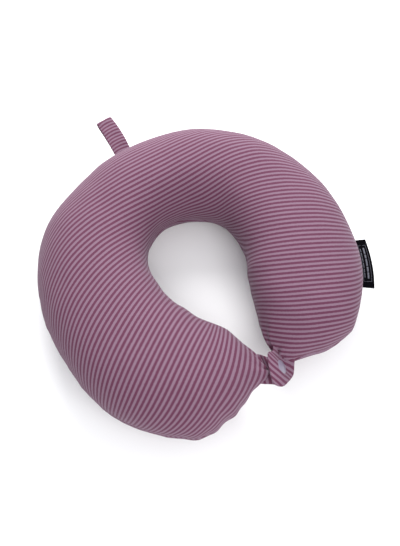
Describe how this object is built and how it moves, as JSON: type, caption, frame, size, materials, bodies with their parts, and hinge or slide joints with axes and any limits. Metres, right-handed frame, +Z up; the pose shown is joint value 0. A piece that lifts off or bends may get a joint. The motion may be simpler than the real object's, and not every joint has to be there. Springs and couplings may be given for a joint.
{
  "type": "u shaped neck pillow",
  "caption": "U shaped travel neck pillow: a stuffed striped stretch cover whose two arms are joined by snap tabs, with a hang loop at the back and a side label.",
  "frame": {"origin": "centre of the box of the whole part in X and Y, on the table that the pillow lies on", "axes": "+Z up from the table; +Y towards the back of the neck, where the hang loop is; +X towards the right arm as seen from above with the back of the neck away; the opening between the arms faces -Y"},
  "size_m": [0.297, 0.3292, 0.0861],
  "materials": {
    "cover_fabric": "stretch knit, dark plum and light mauve stripes",
    "liner_fabric": "plain tightly woven liner that holds the beads",
    "bead_fill": "loose expanded polystyrene microbeads",
    "thread": "polyester sewing thread",
    "snap_plastic": "moulded acetal, lilac grey",
    "label_satin": "black woven satin",
    "interfacing": "fused non-woven interfacing"
  },
  "bodies": {
    "back": {"back_cover_upper": "cover_fabric", "back_cover_lower": "cover_fabric", "back_inner_seam": "thread", "back_outer_seam": "thread", "back_liner_upper": "liner_fabric", "back_liner_lower": "liner_fabric", "back_bead_fill": "bead_fill"},
    "left_arm": {"left_arm_cover_upper": "cover_fabric", "left_arm_cover_lower": "cover_fabric", "left_arm_inner_seam": "thread", "left_arm_outer_seam": "thread", "left_arm_liner_upper": "liner_fabric", "left_arm_liner_lower": "liner_fabric", "left_arm_bead_fill": "bead_fill", "left_arm_fold_thread": "thread", "left_arm_tab_root": "cover_fabric", "left_arm_closing_seam": "cover_fabric"},
    "right_arm": {"right_arm_cover_upper": "cover_fabric", "right_arm_cover_lower": "cover_fabric", "right_arm_inner_seam": "thread", "right_arm_outer_seam": "thread", "right_arm_liner_upper": "liner_fabric", "right_arm_liner_lower": "liner_fabric", "right_arm_bead_fill": "bead_fill", "right_arm_fold_thread": "thread", "right_arm_tab_root": "cover_fabric", "right_arm_closing_seam": "cover_fabric"},
    "upper_tab": {"upper_tab_top_ply": "cover_fabric", "upper_tab_interfacing": "interfacing", "upper_tab_under_ply": "cover_fabric", "upper_tab_hem_stitches": "thread", "snap_upper_cap": "snap_plastic", "snap_socket": "snap_plastic"},
    "lower_tab": {"lower_tab_top_ply": "cover_fabric", "lower_tab_interfacing": "interfacing", "lower_tab_under_ply": "cover_fabric", "lower_tab_hem_stitches": "thread", "snap_stud": "snap_plastic", "snap_lower_cap": "snap_plastic"},
    "hang_loop": {"hang_loop_strap": "cover_fabric", "hang_loop_stitches": "thread"},
    "label": {"label": "label_satin"}
  },
  "joints": [
    {"name": "left_arm_spread", "type": "hinge", "parent": "back", "child": "left_arm", "pos_m": [-0.12539, 0.05471, 0.04], "axis": [0, 0, -1], "range_deg": [0, 22]},
    {"name": "right_arm_spread", "type": "hinge", "parent": "back", "child": "right_arm", "pos_m": [0.12117, 0.05242, 0.04], "axis": [0, 0, 1], "range_deg": [0, 22]},
    {"name": "upper_tab_lift", "type": "hinge", "parent": "right_arm", "child": "upper_tab", "pos_m": [0.0146, -0.14662, 0.03557], "axis": [0.0366, 0.9262, 0.3752], "range_deg": [0, 36]},
    {"name": "lower_tab_fold", "type": "hinge", "parent": "left_arm", "child": "lower_tab", "pos_m": [-0.00502, -0.15079, 0.04777], "axis": [0.0366, 0.9262, 0.3752], "range_deg": [0, 28]},
    {"name": "hang_loop_swing", "type": "hinge", "parent": "back", "child": "hang_loop", "pos_m": [0.00313, 0.11624, 0.04], "axis": [1, 0, 0], "range_deg": [-45, 80]},
    {"name": "label_flap", "type": "hinge", "parent": "right_arm", "child": "label", "pos_m": [0.12623, -0.10591, 0.04], "axis": [-0.5, -0.866, 0], "range_deg": [-55, 55]}
  ]
}
